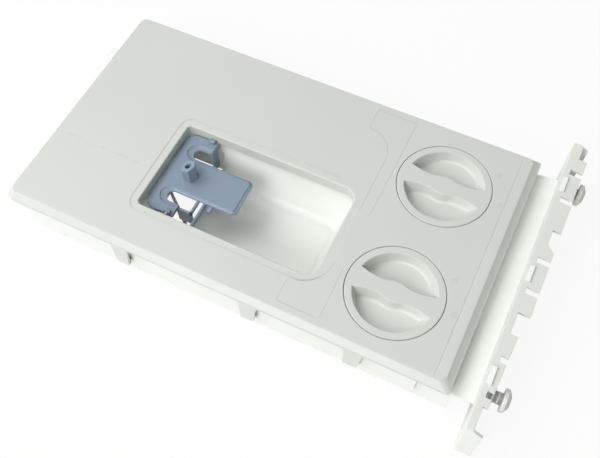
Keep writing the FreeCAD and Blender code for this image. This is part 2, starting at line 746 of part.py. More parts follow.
def finger_hollow(sketch, side):
    """One finger hollow: a round outer edge and a grip edge of five arcs that bulges, narrows and flares."""
    end_x = root(dim.cap_hollow_radius * dim.cap_hollow_radius - dim.grip_end * dim.grip_end)
    rise = (dim.grip_centre - dim.grip_waist) / 2
    half_step = dim.grip_waist_x / 2
    bend = (half_step * half_step + rise * rise) / (2 * rise)
    flare = dim.grip_end - dim.grip_waist
    run = end_x - dim.grip_waist_x
    flare_bend = (run * run + flare * flare) / (2 * flare)
    middle = dim.grip_waist + rise
    joints = [(-end_x, dim.grip_end), (-dim.grip_waist_x, dim.grip_waist), (-half_step, middle),
              (half_step, middle), (dim.grip_waist_x, dim.grip_waist), (end_x, dim.grip_end)]
    arcs = [(flare_bend, -dim.grip_waist_x, dim.grip_waist + flare_bend),
            (bend, -dim.grip_waist_x, dim.grip_waist + bend), (bend, ZERO, dim.grip_centre - bend),
            (bend, dim.grip_waist_x, dim.grip_waist + bend),
            (flare_bend, dim.grip_waist_x, dim.grip_waist + flare_bend)]
    first = sketch.GeometryCount
    left_end = []
    for index, (radius, centre_x, centre_y) in enumerate(arcs):
        bulges = centre_y.value < 0
        leftwards = bulges == (side > 0)
        ends = joints[index:index + 2]
        if leftwards:
            ends = ends[::-1]
        add_arc(sketch, centre_x, side * centre_y, radius, [(x, side * y) for x, y in ends])
        left_end.append(2 if leftwards else 1)
    rim_ends = [joints[5], joints[0]] if side > 0 else [joints[0], joints[5]]
    rim = add_arc(sketch, ZERO, ZERO, dim.cap_hollow_radius, [(x, side * y) for x, y in rim_ends])
    rim_left = 2 if side > 0 else 1
    sketch.addConstraint(Sketcher.Constraint("Coincident", rim, 3, -1, 1))
    hold(sketch, "Radius", dim.cap_hollow_radius, rim)
    for index, (radius, centre_x, centre_y) in enumerate(arcs):
        arc = first + index
        hold(sketch, "Radius", radius, arc)
        if index == 0:
            hold(sketch, "DistanceY", side * joints[0][1], -1, 1, arc, left_end[0])
            sketch.addConstraint(Sketcher.Constraint("Coincident", arc, left_end[0], rim, rim_left))
        else:
            before = arc - 1
            hold_point(sketch, arc, left_end[index], joints[index][0], side * joints[index][1])
            sketch.addConstraint(
                Sketcher.Constraint("Coincident", before, 3 - left_end[index - 1], arc, left_end[index]))
    last = first + 4
    hold(sketch, "DistanceY", side * joints[5][1], -1, 1, last, 3 - left_end[4])
    sketch.addConstraint(Sketcher.Constraint("Coincident", last, 3 - left_end[4], rim, 3 - rim_left))


def add_arc(sketch, centre_x, centre_y, radius, ends):
    """An arc about a centre, anticlockwise from its first end to its second."""
    centre = vector(centre_x, centre_y)
    angles = [math.atan2(as_size(y).value - centre.y, as_size(x).value - centre.x) for x, y in ends]
    if angles[1] < angles[0]:
        angles[1] += 2 * math.pi
    edge = Part.Circle(centre, FreeCAD.Vector(0, 0, 1), radius.value)
    return sketch.addGeometry(Part.ArcOfCircle(edge, *angles), False)


def place(item, x, y, z):
    for axis, amount in zip("xyz", (x, y, z)):
        bind(item, f"Placement.Base.{axis}", amount)


def make_cap(name, y):
    """A bayonet filler cap: flush rim, plug with two finger hollows beside a grip bar, three lugs."""
    body = new_body(name)
    rim = new_sketch(body, "rim", shift=(0, 0, -dim.cap_rim))
    circle(rim, ZERO, ZERO, dim.cap_radius)
    pad(body, "rim_disc", rim, dim.cap_rim)
    fillet(body, "rim_round", dim.cap_rim_round, lambda edge: lies_at(edge, ZERO))
    plug_low = dim.cap_hollow_depth + dim.cap_cup_floor
    plug = new_sketch(body, "plug", shift=(0, 0, -plug_low))
    circle(plug, ZERO, ZERO, dim.cap_plug_radius)
    pad(body, "plug_cup", plug, plug_low - dim.cap_rim / 2)
    for side_name, side in (("far", 1), ("near", -1)):
        hollow = new_sketch(body, f"hollow_{side_name}")
        finger_hollow(hollow, side)
        pocket(body, f"hollow_cut_{side_name}", hollow, dim.cap_hollow_depth)
    hollow_floor = -dim.cap_hollow_depth
    fillet(body, "hollow_round", dim.cap_hollow_round, lambda edge: lies_at(edge, hollow_floor))
    lug_low = dim.neck_depth + dim.cap_lug_play + dim.cap_lug_height
    lug = new_sketch(body, "lug", shift=(0, 0, -lug_low))
    rectangle(lug, dim.cap_plug_radius - dim.cap_lug_reach, lug_radius,
              -dim.cap_lug_width / 2, dim.cap_lug_width / 2)
    bar = pad(body, "lug_bar", lug, dim.cap_lug_height)
    three_round(body, "lugs", bar, lug)
    place(body, cap_x, y, dim.cover_top)


def make_cap_seal(name, y):
    """The flat seal ring under a cap's rim."""
    body = new_body(name)
    ring = new_sketch(body, "ring", shift=(0, 0, -dim.cap_rim - dim.seal_thickness))
    circle(ring, ZERO, ZERO, dim.cap_plug_radius + dim.cap_plug_gap + dim.seal_width)
    circle(ring, ZERO, ZERO, dim.cap_plug_radius + dim.cap_plug_gap / 2)
    pad(body, "washer", ring, dim.seal_thickness)
    place(body, cap_x, y, dim.cover_top)


def make_release_flap():
    """The hinged lever in the bay: a plate with arms and a tongue, chute walls below and a hollow post."""
    body = new_body("release_flap")
    top = dim.cover_top - dim.flap_drop
    low = top - dim.flap_plate
    rear = bay_rear + dim.flap_rear_gap
    half = dim.bay_width / 2 - dim.flap_side_gap
    arm_in = half - dim.flap_arm_width
    arm_front = rear + dim.flap_arm_length
    slot_rear = rear + dim.flap_slot_root
    tongue = dim.flap_tongue_width / 2
    tip = rear + dim.flap_tongue_length
    middle = dim.bay_y
    plate = new_sketch(body, "plate", shift=(0, 0, low))
    outline(plate, [
        (rear, middle - half), (arm_front, middle - half), (arm_front, middle - arm_in),
        (slot_rear, middle - arm_in), (slot_rear, middle - tongue), (tip, middle - tongue),
        (tip, middle + tongue), (slot_rear, middle + tongue), (slot_rear, middle + arm_in),
        (arm_front, middle + arm_in), (arm_front, middle + half), (rear, middle + half)])
    pad(body, "plate_pad", plate, dim.flap_plate)
    fillet(body, "rear_corners", dim.flap_corner, lambda edge: is_upright(edge, rear, half))
    fillet(body, "tongue_corners", dim.flap_tongue_corner, lambda edge: is_upright(edge, tip, tongue))
    fillet(body, "slot_rounds", dim.flap_slot_round, lambda edge: is_upright(edge, slot_rear))
    lip = new_sketch(body, "lip", shift=(0, 0, low - dim.flap_lip_depth))
    lip_half = tongue - dim.flap_tongue_corner
    rectangle(lip, tip - dim.flap_lip_wall, tip, middle - lip_half, middle + lip_half)
    pad(body, "lip_wall", lip, dim.flap_lip_depth + dim.flap_plate / 2)

    # Two cross walls with ribs between them guide the flow down into the outlet.
    wall_starts = {"rear": arm_front - dim.flap_wall, "front": arm_front + dim.flap_wall_gap}
    for name, start in wall_starts.items():
        wall = new_sketch(body, f"wall_{name}", "YZ_Plane", shift=(0, 0, start))
        foot = half - dim.flap_wall_taper
        outline(wall, [(middle - half, low), (middle - foot, low - dim.flap_wall_depth),
                       (middle + foot, low - dim.flap_wall_depth), (middle + half, low),
                       (middle + tongue, low + dim.flap_plate / 2),
                       (middle - tongue, low + dim.flap_plate / 2)])
        pad(body, f"wall_{name}_pad", wall, dim.flap_wall)
    ribs = new_sketch(body, "ribs", shift=(0, 0, low - dim.flap_wall_depth))
    for side in SIDES:
        rectangle(ribs, arm_front - dim.flap_wall / 2, arm_front + dim.flap_wall_gap + dim.flap_wall / 2,
                  middle + side * (tongue - dim.flap_wall), middle + side * tongue)
    pad(body, "rib_walls", ribs, dim.flap_wall_depth + dim.flap_plate / 2)

    # Clip ears round the two pivot pins, open at the bottom.
    for name, start in (("near", middle - half), ("far", middle + half - dim.ear_width)):
        ear = new_sketch(body, f"ear_{name}", "XZ_Plane", shift=(0, 0, -start))
        circle(ear, dim.pivot_x, pivot_height, dim.ear_radius)
        item = pad(body, f"ear_disc_{name}", ear, dim.ear_width)
        item.Reversed = True
    bore = dim.pivot_radius + dim.pivot_play
    half_throat = dim.ear_throat / 2
    clear = dim.ear_width + dim.flap_wall
    for name, start in (("near", middle - half), ("far", middle + half - clear)):
        seat = new_sketch(body, f"seat_{name}", "XZ_Plane", shift=(0, 0, -start))
        circle(seat, dim.pivot_x, pivot_height, bore)
        pocket(body, f"seat_cut_{name}", seat, clear)
        throat = new_sketch(body, f"throat_{name}", "XZ_Plane", shift=(0, 0, -start))
        rectangle(throat, dim.pivot_x - half_throat, dim.pivot_x + half_throat,
                  pivot_height - 2 * dim.ear_radius, pivot_height)
        pocket(body, f"throat_cut_{name}", throat, clear)

    # The six-sided post is hollow from its top.
    post = new_sketch(body, "post", shift=(0, 0, low + dim.flap_plate / 2))
    reach = dim.post_across / math.sqrt(3)
    turns = [math.radians(60 * step) for step in range(6)]
    outline(post, [(dim.post_x + reach * math.cos(turn), dim.post_y + reach * math.sin(turn))
                   for turn in turns])
    pad(body, "post_pad", post, dim.post_height + dim.flap_plate / 2)
    post_bore = new_sketch(body, "post_bore", shift=(0, 0, top + dim.post_height))
    circle(post_bore, dim.post_x, dim.post_y, dim.post_bore)
    pocket(body, "post_bore_cut", post_bore, dim.post_bore_depth)


def make_stud(name, y):
    """A mushroom stud: barbed peg through the carrier wall, ringed stem and domed head."""
    body = new_body(name)
    sketch = new_sketch(body, "profile", "XZ_Plane")
    barb_end = -dim.carrier_wall - dim.stud_barb_play
    ring_start = (dim.stud_stem_length - dim.stud_ring_width) / 2
    ring_end = ring_start + dim.stud_ring_width
    head = dim.stud_stem_length
    rim = head + dim.stud_head_rim
    crown = rim + dim.stud_dome
    flat = dim.stud_stem_radius
    outline(sketch, [
        (barb_end - dim.stud_barb_length, ZERO), (barb_end - dim.stud_barb_length, dim.stud_peg_radius),
        (barb_end, dim.stud_barb_radius), (barb_end, dim.stud_peg_radius), (ZERO, dim.stud_peg_radius),
        (ZERO, dim.stud_ring_radius), (dim.stud_ring_width, dim.stud_ring_radius),
        (dim.stud_ring_width, dim.stud_stem_radius), (ring_start, dim.stud_stem_radius),
        (ring_start, dim.stud_ring_radius), (ring_end, dim.stud_ring_radius),
        (ring_end, dim.stud_stem_radius), (head, dim.stud_stem_radius), (head, dim.stud_head_radius),
        (rim, dim.stud_head_radius), (crown, flat), (crown, ZERO)])
    revolve(body, "stud", sketch, "H_Axis")
    place(body, carrier_front, y, stud_height)


def make_valve(prefix, y):
    """A self-closing outlet valve: guide, poppet, seal ring and spring on the spigot's axis."""
    seal_start = valve_seat + dim.poppet_seal_play
    head_start = seal_start + dim.poppet_seal_width
    head_end = head_start + dim.poppet_head_width
    guide_start = boss_end - dim.guide_width

    poppet = new_body(f"{prefix}_valve_poppet")
    shape = new_sketch(poppet, "profile", "XZ_Plane")
    nose = spigot_end + dim.poppet_nose_inset
    outline(shape, [
        (nose, ZERO), (nose, dim.poppet_nose_radius), (head_start, dim.poppet_nose_radius),
        (head_start, dim.poppet_head_radius), (head_end, dim.poppet_head_radius),
        (head_end, dim.poppet_stem_radius), (boss_end, dim.poppet_stem_radius), (boss_end, ZERO)])
    revolve(poppet, "turned", shape, "H_Axis")

    seal = new_body(f"{prefix}_valve_seal")
    ring = new_sketch(seal, "ring", "YZ_Plane", shift=(0, 0, seal_start))
    circle(ring, ZERO, ZERO, dim.poppet_head_radius)
    circle(ring, ZERO, ZERO, dim.poppet_nose_radius + dim.guide_play)
    pad(seal, "washer", ring, dim.poppet_seal_width)

    guide = new_body(f"{prefix}_valve_guide")
    disc = new_sketch(guide, "disc", "YZ_Plane", shift=(0, 0, guide_start))
    circle(disc, ZERO, ZERO, dim.valve_bore - dim.guide_play)
    circle(disc, ZERO, ZERO, dim.poppet_stem_radius + dim.guide_play)
    pad(guide, "plate", disc, dim.guide_width)
    port = new_sketch(guide, "port", "YZ_Plane", shift=(0, 0, boss_end))
    circle(port, dim.guide_port_circle, ZERO, dim.guide_port_radius)
    cut = pocket(guide, "port_cut", port, dim.guide_width)
    three_round(guide, "ports", cut, port)
    for body in (poppet, seal, guide):
        place(body, ZERO, y, dim.valve_height)

    path = doc.addObject("Part::Helix", f"{prefix}_spring_path")
    length = guide_start - head_end - 2 * dim.spring_wire
    bind(path, "Height", length)
    bind(path, "Pitch", length / dim.spring_turns)
    bind(path, "Radius", dim.spring_radius)
    along_x = FreeCAD.Rotation(FreeCAD.Vector(0, 1, 0), 90)
    path.Placement = FreeCAD.Placement(FreeCAD.Vector(), along_x)
    place(path, head_end + dim.spring_wire, y, dim.valve_height)
    section = doc.addObject("Part::Circle", f"{prefix}_spring_wire")
    bind(section, "Radius", dim.spring_wire)
    section.Placement = FreeCAD.Placement(FreeCAD.Vector(), FreeCAD.Rotation(FreeCAD.Vector(1, 0, 0), 90))
    place(section, head_end + dim.spring_wire, y, dim.valve_height - dim.spring_radius)
    spring = doc.addObject("Part::Sweep", f"{prefix}_valve_spring")
    spring.Sections = [section]
    spring.Spine = (path, [])
    spring.Solid = True
    spring.Frenet = True
    spring.Label = f"{prefix}_valve_spring"
    NODES.append(spring)


make_tank_body()
make_top_cover()
make_cover_gasket()
for side_name, contents in (("far", "detergent"), ("near", "softener")):
    make_cap(f"{contents}_cap", cap_places[side_name])
    make_cap_seal(f"{contents}_cap_seal", cap_places[side_name])
make_release_flap()
make_stud("fascia_stud_far", stud_place)
make_stud("fascia_stud_near", -stud_place)
make_valve("detergent", dim.valve_far_y)
make_valve("softener", dim.valve_near_y)
doc.recompute()

failed = [item.Label for item in doc.Objects if {"Invalid", "Error"} & set(item.State)]
failed += [node.Label for node in NODES if node.Shape.isNull() or not node.Shape.isValid()]
if failed:
    raise RuntimeError(f"not built: {failed}")
os.makedirs("parts", exist_ok=True)
for node in NODES:
    print(f"{node.Label}: {len(node.Shape.Solids)} solid, {node.Shape.Volume / 1000:.2f} cm3")
    node.Shape.exportStep(f"parts/{node.Label}.step")
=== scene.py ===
import math

import bmesh
import bpy
import numpy as np
from mathutils import Matrix, Vector


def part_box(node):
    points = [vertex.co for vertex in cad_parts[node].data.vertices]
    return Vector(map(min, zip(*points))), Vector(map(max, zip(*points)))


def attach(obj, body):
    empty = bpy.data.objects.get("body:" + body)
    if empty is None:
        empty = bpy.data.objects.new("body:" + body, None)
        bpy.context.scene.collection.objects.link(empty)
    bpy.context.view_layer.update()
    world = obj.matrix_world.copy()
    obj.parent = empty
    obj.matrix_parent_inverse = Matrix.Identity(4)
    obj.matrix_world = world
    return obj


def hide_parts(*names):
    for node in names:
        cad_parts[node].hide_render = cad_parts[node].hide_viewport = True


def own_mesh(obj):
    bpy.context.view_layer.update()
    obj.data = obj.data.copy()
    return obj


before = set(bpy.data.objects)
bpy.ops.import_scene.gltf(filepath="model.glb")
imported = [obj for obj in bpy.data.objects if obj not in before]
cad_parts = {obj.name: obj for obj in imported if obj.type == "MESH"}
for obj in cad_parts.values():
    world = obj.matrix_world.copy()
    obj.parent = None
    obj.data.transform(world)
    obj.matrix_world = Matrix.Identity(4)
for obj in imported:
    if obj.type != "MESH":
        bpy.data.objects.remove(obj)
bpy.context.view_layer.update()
scene = bpy.context.scene


# The tub: both tanks, the powder bay, the shelf and the comb carrier in one piece.
# White polypropylene, injection moulded; it carries everything else.
# Its sizes, and those of the other pieces, are in millimetres.
def linear(hex_colour):
    """sRGB hex text as a linear colour with alpha."""
    parts = [int(hex_colour[i:i + 2], 16) / 255 for i in (1, 3, 5)]
    return [c / 12.92 if c <= 0.04045 else ((c + 0.055) / 1.055) ** 2.4 for c in parts] + [1.0]


def add_node(tree, kind, settings=None, links=None):
    """Adds one node, sets its properties or input sockets by name, and links sockets into its inputs."""
    node = tree.nodes.new(kind)
    for name, value in (settings or {}).items():
        if isinstance(name, int) or name in node.inputs:
            node.inputs[name].default_value = value
        else:
            setattr(node, name, value)
    for name, socket in (links or {}).items():
        tree.links.new(socket, node.inputs[name])
    return node


def moulded_plastic(name, colour, deeper, roughness, grain_mm, grain_depth_mm, ior=1.49):
    """Moulded plastic: an even colour with faint cloudy drift, and a fine grain from the eroded mould."""
    material = bpy.data.materials.new(name)
    material.use_nodes = True
    tree = material.node_tree
    tree.nodes.clear()
    place = add_node(tree, "ShaderNodeTexCoord")
    # Flow marks of the melt: soft clouds some 60 mm across.
    cloud = add_node(tree, "ShaderNodeTexNoise", {"Scale": 1 / 0.060, "Detail": 3.0, "Roughness": 0.5},
                     {"Vector": place.outputs["Object"]})
    tint = add_node(tree, "ShaderNodeMix", {"data_type": "RGBA"}, {"Factor": cloud.outputs["Fac"]})
    tint.inputs["A"].default_value = linear(colour)
    tint.inputs["B"].default_value = linear(deeper)
    # Spark-eroded mould grain, drawn a little coarser than life so that it shows.
    grain = add_node(tree, "ShaderNodeTexNoise", {"Scale": 1000 / grain_mm, "Detail": 2.0},
                     {"Vector": place.outputs["Object"]})
    bump = add_node(tree, "ShaderNodeBump", {"Strength": 0.25, "Distance": grain_depth_mm / 1000},
                    {"Height": grain.outputs["Fac"]})
    gloss = add_node(tree, "ShaderNodeMapRange", {"From Min": 0.25, "From Max": 0.75,
                                                  "To Min": roughness - 0.05, "To Max": roughness + 0.06},
                     {"Value": cloud.outputs["Fac"]})
    surface = add_node(tree, "ShaderNodeBsdfPrincipled", {"IOR": ior},
                       {"Base Color": tint.outputs["Result"], "Roughness": gloss.outputs["Result"],
                        "Normal": bump.outputs["Normal"]})
    add_node(tree, "ShaderNodeOutputMaterial", None, {"Surface": surface.outputs["BSDF"]})
    return material


def merged_copy(node):
    """A CAD piece's mesh as one shell of flat faces, and its points in millimetres."""
    work = bmesh.new()
    work.from_mesh(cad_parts[node].data)
    bmesh.ops.remove_doubles(work, verts=work.verts, dist=2e-6)
    bmesh.ops.dissolve_limit(work, angle_limit=math.radians(0.5), verts=work.verts, edges=work.edges)
    mesh = bpy.data.meshes.new(node + "_moulding")
    work.to_mesh(mesh)
    work.free()
    points = np.empty(3 * len(mesh.vertices))
    mesh.vertices.foreach_get("co", points)
    return mesh, points.reshape(-1, 3) * 1000


def fitted(mesh, material, body):
    """Puts a mesh of one material into the scene as a piece that rides on a body."""
    mesh.materials.clear()
    mesh.materials.append(material)
    piece = bpy.data.objects.new(mesh.name, mesh)
    scene.collection.objects.link(piece)
    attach(piece, body)
    return piece


def rounded_moulding(node, mesh, points, body, material, radius):
    """A piece whose sharp outer edges get a small mould radius in metres, except on steps too thin for it."""
    mesh.vertices.foreach_set("co", (points / 1000).ravel())
    work = bmesh.new()
    work.from_mesh(mesh)
    share = work.edges.layers.float.new("bevel_weight_edge")
    for edge in work.edges:
        if len(edge.link_faces) == 2 and edge.is_convex and edge.calc_face_angle() > math.radians(38):
            depth = min(face.calc_area() for face in edge.link_faces) / edge.calc_length()
            edge[share] = float(depth > 2.2 * radius)
    work.to_mesh(mesh)
    work.free()
    mesh.shade_smooth()
    piece = fitted(mesh, material, body)
    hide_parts(node)
    bevel = piece.modifiers.new("mould_radius", "BEVEL")
    bevel.width = radius
    bevel.segments = 2
    bevel.limit_method = "WEIGHT"
    bevel.use_clamp_overlap = False
    flat = piece.modifiers.new("even_faces", "WEIGHTED_NORMAL")
    flat.mode = "FACE_AREA"
    flat.weight = 100
    flat.keep_sharp = True


def at(values, place, slack=0.05):
    """True where a coordinate lies at a place, within a slack."""
    return abs(values - place) < slack


def swept(outline, insets, heights):
    """Closed surface p(j, i) = outline(i) + insets(j, i) * inward(i) at heights(j), both end rows filled.

    The outline runs anticlockwise and inward(i) is its mitred normal at point i."""
    ahead = np.roll(outline, -1, axis=0) - outline
    ahead = ahead / np.linalg.norm(ahead, axis=1, keepdims=True)
    normal = np.column_stack([-ahead[:, 1], ahead[:, 0]])
    before = np.roll(normal, 1, axis=0)
    inward = (normal + before) / (1 + (normal * before).sum(axis=1, keepdims=True))
    rows = np.array([np.broadcast_to(inset, len(outline)) for inset in insets])
    flat = outline + rows[:, :, None] * inward
    level = np.broadcast_to(np.reshape(heights, (-1, 1, 1)), flat.shape[:2] + (1,))
    index = np.arange(level.size).reshape(level.shape[:2])
    beside = np.roll(index, -1, axis=1)
    quads = np.stack([index[:-1], beside[:-1], beside[1:], index[1:]], axis=2).reshape(-1, 4)
    return np.concatenate([flat, level], axis=2).reshape(-1, 3), [*quads, index[0, ::-1], index[-1]]


def joined(name, surfaces):
    """One mesh of several swept surfaces, and its points in millimetres."""
    starts = np.cumsum([0] + [len(points) for points, faces in surfaces])
    points = np.concatenate([surface[0] for surface in surfaces])
    faces = [(face + start).tolist() for start, surface in zip(starts, surfaces) for face in surface[1]]
    mesh = bpy.data.meshes.new(name)
    mesh.from_pydata(points / 1000, [], faces)
    return mesh, points


# Satin white with a faint milky drift.
tub_plastic = moulded_plastic("white_polypropylene_moulded", "#F1F3EE", "#EAECE7", 0.36, 0.5, 0.02)
tub, points = merged_copy("tank_body")
x, y, z = points.T.copy()
# Along the comb every slit, notch and tongue is drawn to the pitch measured in the photograph.
solid_sides = (-113.5, -95.5, -89.8, -85.8, -82, -69, -65.2, -61.2, -44.15, -28.65, -14.3, -10.3, -6.5,
               6.5, 10.3, 14.3, 22.55, 38.05, 61.2, 65.2, 69, 82, 85.8, 89.8, 103.5, 113.5)
drawn_sides = (-113.2, -96.2, -89.8, -85.4, -81.7, -68.7, -65.0, -60.6, -44.1, -28.3, -13.3, -8.9, -5.2,
               7.8, 11.5, 15.9, 27.65, 39.35, 63.2, 67.6, 71.3, 84.3, 88.0, 92.4, 103.4, 115.8)
carrier = x > 183.5
points[carrier, 1] = np.interp(y[carrier], solid_sides, drawn_sides)
comb = carrier & (z > 46.9)
catch = comb & (at(abs(y), 6.5) | at(abs(y), 69) | at(abs(y), 82))
slit = comb & ~catch & at(x, 189.8)
notch = comb & ~catch & at(x, 191.8)
tongue_end = comb & (x > 197.7)
slit_bottom, near_notch_bottom, far_notch_bottom = 189.0, 189.5, 192.0
points[slit, 0] = slit_bottom
points[notch, 0] = np.where(y[notch] < 0, near_notch_bottom, far_notch_bottom)
# The near tongues are shorter, the outermost by most, and one far tongue has a slanted side.
shorter = np.interp(y[tongue_end], (-113.2, -36.2), (5.7, 2.7))
points[tongue_end, 0] -= np.where(y[tongue_end] < -36, shorter, 0)
points[tongue_end & at(y, 22.55), 1] = 22.95
# The catches on the tongues are low ramps that rise to the front.
catch_foot = catch & (x < 187.4)
points[catch_foot, 0] = 186.05
points[catch_foot, 2] = np.minimum(z[catch_foot], 49.05)
points[catch & at(x, 188.5)] += (0.95, 0, -0.5)
points[catch & at(x, 191.8), 0] = 190.25
# The tongues lean down a little to the front, and the foot below them is short.
plate_front, comb_lean, foot_front = 187.3, 0.14, 191.8
points[comb, 2] -= comb_lean * np.maximum(points[comb, 0] - plate_front, 0)
points[carrier & (z < 2.6) & (x > 195), 0] = foot_front
# The bay's outlet ends just before the flap's outer bar, and its two ribs meet at the back.
outlet_cut = 10.0
mouth = at(x, -38.6, 1.05) & (y > -63) & (y < 17) & (z < 34)
points[mouth, 0] -= outlet_cut
rib = (z < 2.6) & at(x, -60.1, 20.6) & (y > -49) & (y < 3)
points[rib, 1] = np.interp(y[rib], (-48.7, -46.7, -27.8, -25.8, -20.7, -18.7, 0.2, 2.2),
                           (-49.6, -46.4, -24.6, -21.6, -21.4, -18.4, 3.4, 6.6))
rounded_moulding("tank_body", tub, points, "drawer", tub_plastic, 0.0003)
# A wall with a slanted shoulder closes each end of the carrier.
end_thickness, end_chamfer = 2.0, 0.2
shoulder = np.array([(184.9, 0.1), (195.8, 0.1), (195.8, 45.0), (189.5, 48.9), (184.9, 48.9)])
end_walls = []
for low_y in (-113.35, 113.95):
    high_y = low_y + end_thickness
    wall, faces = swept(shoulder, (end_chamfer, 0, 0, end_chamfer),
                        (-high_y, end_chamfer - high_y, -end_chamfer - low_y, -low_y))
    end_walls.append((np.column_stack([wall[:, 0], -wall[:, 2], wall[:, 1]]), faces))
fitted(joined("carrier_end_walls", end_walls)[0], tub_plastic, "drawer")


# The seals: one between tub and cover, one under each cap and one in each outlet valve.
# Black nitrile rubber, moulded, and held by being squeezed between the pieces that it seals.
def coat(node, material):
    """Gives a CAD piece one material all over."""
    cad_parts[node].data.materials.clear()
    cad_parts[node].data.materials.append(material)


# Dull and nearly black.
rubber = moulded_plastic("nitrile_rubber_moulded", "#3A3C3D", "#333536", 0.62, 0.6, 0.02, 1.52)
for node in ("cover_gasket", "detergent_cap_seal", "softener_cap_seal",
             "detergent_valve_seal", "softener_valve_seal"):
    coat(node, rubber)

# The outlet valves behind the spigots: in each a guide, a poppet and the spring that closes it.
# Guide and poppet are moulded of white acetal, and the spring is wound from drawn stainless wire.
# Acetal is smooth and a little glossy.
acetal = moulded_plastic("white_acetal_moulded", "#F0F1EC", "#E9EAE5", 0.3, 0.5, 0.01, 1.48)
# Drawn wire: bright metal whose gloss wanders in 0.8 mm patches where the die left its film.
wire = bpy.data.materials.new("stainless_wire_drawn")
wire.use_nodes = True
tree = wire.node_tree
tree.nodes.clear()
place = add_node(tree, "ShaderNodeTexCoord")
film = add_node(tree, "ShaderNodeTexNoise", {"Scale": 1000 / 0.8, "Detail": 2.0},
                {"Vector": place.outputs["Object"]})
sheen = add_node(tree, "ShaderNodeMapRange",
                 {"From Min": 0.3, "From Max": 0.7, "To Min": 0.18, "To Max": 0.36},
                 {"Value": film.outputs["Fac"]})
steel = add_node(tree, "ShaderNodeMix", {"data_type": "RGBA"}, {"Factor": film.outputs["Fac"]})
steel.inputs["A"].default_value = linear("#C9C8C4")
steel.inputs["B"].default_value = linear("#B6B5B0")
surface = add_node(tree, "ShaderNodeBsdfPrincipled", {"Metallic": 1.0},
                   {"Base Color": steel.outputs["Result"], "Roughness": sheen.outputs["Result"]})
add_node(tree, "ShaderNodeOutputMaterial", None, {"Surface": surface.outputs["BSDF"]})
# Each spring is copied from its CAD piece into a mesh of its own, and rides with the drawer.
for tank in ("detergent", "softener"):
    coat(f"{tank}_valve_poppet", acetal)
    coat(f"{tank}_valve_guide", acetal)
    coil, points = merged_copy(f"{tank}_valve_spring")
    spring = fitted(coil, wire, "drawer")
    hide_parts(f"{tank}_valve_spring")
    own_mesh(spring)

# The cover: a raised panel on a flange, with collar and clips, snapped over the tub.
# Light grey ABS, injection moulded.
# It has the semi-gloss finish of an eroded mould.
cover_plastic = moulded_plastic("light_grey_abs_moulded", "#D9DCD6", "#D3D6D0", 0.38, 0.5, 0.02, 1.53)
cover, points = merged_copy("top_cover")
x, y, z = points.T.copy()
# The plain round edge becomes a slope from a narrow flange up to the raised panel: row by row, its
# turn from outside to top gives the share of the panel's inset, which differs on each side.
cover_half_x, cover_half_y, corner_x, corner_y = 169.0, 95.0, 161.0, 87.0
round_reach, round_level, round_radius = 4.5, 40.5, 3.5
spoke = points[:, :2] - np.sign(points[:, :2]) * (corner_x, corner_y)
reach = np.hypot(*spoke.T)
at_corner = (abs(x) > corner_x - 0.01) & (abs(y) > corner_y - 0.01)
turn = np.arctan2(z - round_level, reach - round_reach) / (math.pi / 2)
rising = z > round_level - 0.01
edge = at_corner & rising & at(np.hypot(reach - round_reach, z - round_level), round_radius, 0.03)
skirt = at_corner & ~rising & (reach > 7.9)
ceiling = at_corner & at(z, 41.8, 0.02) & at(reach, 6.0)
step = np.array([0, 1, 2, 3, 9, 10, 11, 12]) / 12
slope_share = (0, 0.05, 0.10, 0.16, 0.84, 0.93, 1.00, 1.12)
slope_height = (40.0, 40.05, 40.1, 40.3, 42.95, 43.4, 43.75, 44.0)
front_inset, rear_inset, far_inset, near_inset = 5.2, 2.5, 2.3, 4.5
front_corner, rear_corner, panel_corner = 2.0, 7.0, 5.0
inset = np.where(skirt, 0.0, np.interp(turn, step, slope_share))
depth = np.column_stack([np.where(x > 0, front_inset, rear_inset), np.where(y > 0, far_inset, near_inset)])
away = np.where(ceiling[:, None], np.maximum(2.0, 0.62 * depth), inset[:, None] * depth)
outer = np.where(x > 0, front_corner, rear_corner)
bow = np.where(skirt, outer, outer + (panel_corner - outer) * np.clip(turn, 0, 1))
bow = np.where(ceiling, panel_corner, bow)[:, None]
moved = (np.sign(points[:, :2]) * ((cover_half_x, cover_half_y) - away - bow)
         + bow * spoke / np.maximum(reach, 1e-6)[:, None])
points[edge | skirt | ceiling, :2] = moved[edge | skirt | ceiling]
points[edge, 2] = np.interp(turn[edge], step, slope_height)
# The engraved line along the front ends before the slope.
line = (z > 43) & at(x, 156.1, 1.0) & (abs(y) > 91)
points[line, 1] = np.where(y[line] > 0, 90.5, -88.5)
# The flap's pins are thin and short.
pin_x, pin_z, pin_thinner = -58.0, 36.5, 0.38
pin = (np.hypot(x - pin_x, z - pin_z) < 2.05) & ((y < -52) | (y > 5)) & (y > -61.5) & (y < 15)
points[pin] -= (points[pin] - (pin_x, 0, pin_z)) * (pin_thinner, 0, pin_thinner)
points[pin, 1] = np.clip(y[pin], -60.5, np.where(y[pin] < 0, -54.6, 14.0))
points[pin & (y > 0), 1] = np.maximum(y[pin & (y > 0)], 11.6)
# The clips' front edges lean back from the flange down.
clip_half, clip_lean, clip_root, clip_length = 6.75, 4.0, 37.0, 25.0
for clip_x in (-73.5, 27.0, 104.2):
    clip_edge = (z < clip_root - 0.1) & (abs(y) > 90.5) & at(x, clip_x + clip_half)
    points[clip_edge, 0] -= clip_lean * (clip_root - z[clip_edge]) / clip_length
rounded_moulding("top_cover", cover, points, "drawer", cover_plastic, 0.0003)


# The outlines engraved in the cover beside each tank's filler, and the turn marks at each cap.
# Fine grooves of the mould, drawn as flat ribbons in a darker grey that is painted shade of the grooves; the
# fields inside them stay bare.
def straight(start, end):
    """Points along a straight line from start to end."""
    return np.linspace(start, end, 12)


